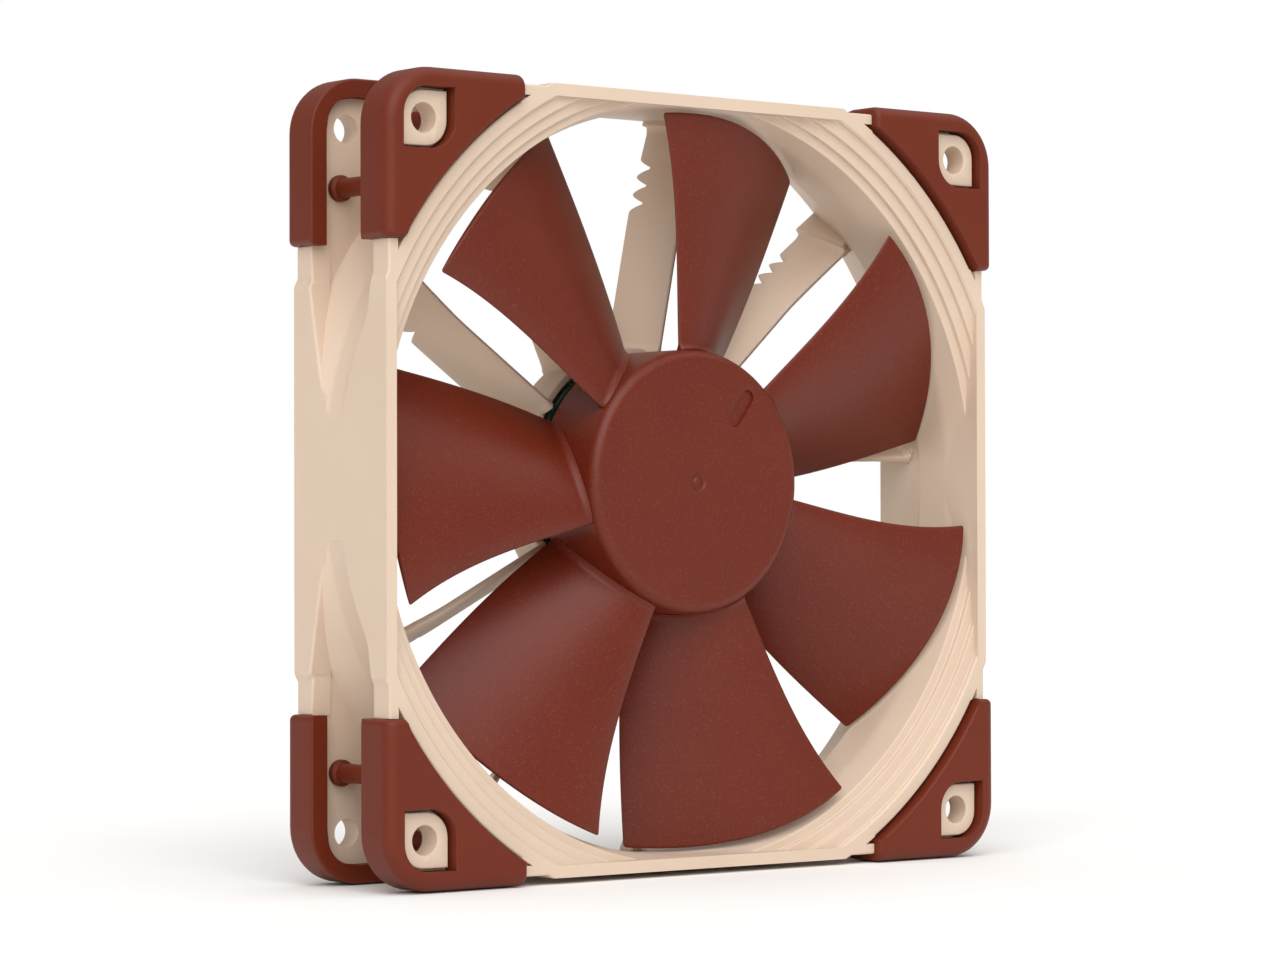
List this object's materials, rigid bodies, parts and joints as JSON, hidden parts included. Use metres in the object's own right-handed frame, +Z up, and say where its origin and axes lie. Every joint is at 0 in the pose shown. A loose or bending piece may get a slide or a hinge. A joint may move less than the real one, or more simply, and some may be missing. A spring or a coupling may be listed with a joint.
{
  "type": "case fan",
  "caption": "Square computer case fan with a stepped round inlet, swept impeller on a central motor hub, slanted rear guide vanes and soft corner pads.",
  "frame": {"origin": "on the rotor axis at mid-depth, which is the centre of the outer box", "axes": "+Z up; rotor axis along Y; intake face with the hub towards -Y, exhaust face with the guide vanes towards +Y; +X to the right seen from the intake side"},
  "size_m": [0.12, 0.027, 0.12],
  "materials": {
    "frame_plastic": "fine matt moulded, light beige",
    "pad_silicone": "satin moulded silicone, red-brown",
    "impeller_plastic": "satin moulded with fine speckle, red-brown",
    "brass": "turned",
    "sintered_bronze": "sintered, oil soaked",
    "nylon": "moulded",
    "ferrite": "pressed and ground",
    "silicon_steel": "stamped stack",
    "black_nylon": "moulded",
    "copper_wire": "enamelled winding wire",
    "tinned_pins": "tinned",
    "green_board": "green solder mask",
    "black_epoxy": "moulded",
    "ceramic_parts": "fired ceramic",
    "label_film": "plain satin film, no print",
    "zinc_plated_steel": "deep drawn, zinc plated",
    "ground_steel": "ground"
  },
  "bodies": {
    "housing": {"frame": "frame_plastic", "guide_vanes": "frame_plastic", "motor_base": "frame_plastic", "front_pad_top_right": "pad_silicone", "front_pad_top_left": "pad_silicone", "front_pad_bottom_left": "pad_silicone", "front_pad_bottom_right": "pad_silicone", "rear_pad_top_right": "pad_silicone", "rear_pad_top_left": "pad_silicone", "rear_pad_bottom_left": "pad_silicone", "rear_pad_bottom_right": "pad_silicone", "bearing_tube": "brass", "bearing_sleeve": "sintered_bronze", "thrust_pad": "nylon", "stabiliser_magnet": "ferrite", "oil_seal_ring": "nylon", "stator_core": "silicon_steel", "front_insulator": "black_nylon", "rear_insulator": "black_nylon", "windings": "copper_wire", "winding_pins": "tinned_pins", "circuit_board": "green_board", "driver_chip": "black_epoxy", "hall_sensor": "black_epoxy", "board_components": "ceramic_parts", "rear_label": "label_film"},
    "rotor": {"impeller": "impeller_plastic", "rotor_cup": "zinc_plated_steel", "ring_magnet": "ferrite", "hub_bush": "brass", "shaft": "ground_steel", "retaining_clip": "ground_steel"}
  },
  "joints": [
    {"name": "rotor_spin", "type": "hinge", "parent": "housing", "child": "rotor", "pos_m": [0, 0, 0], "axis": [0, -1, 0], "continuous": true}
  ]
}
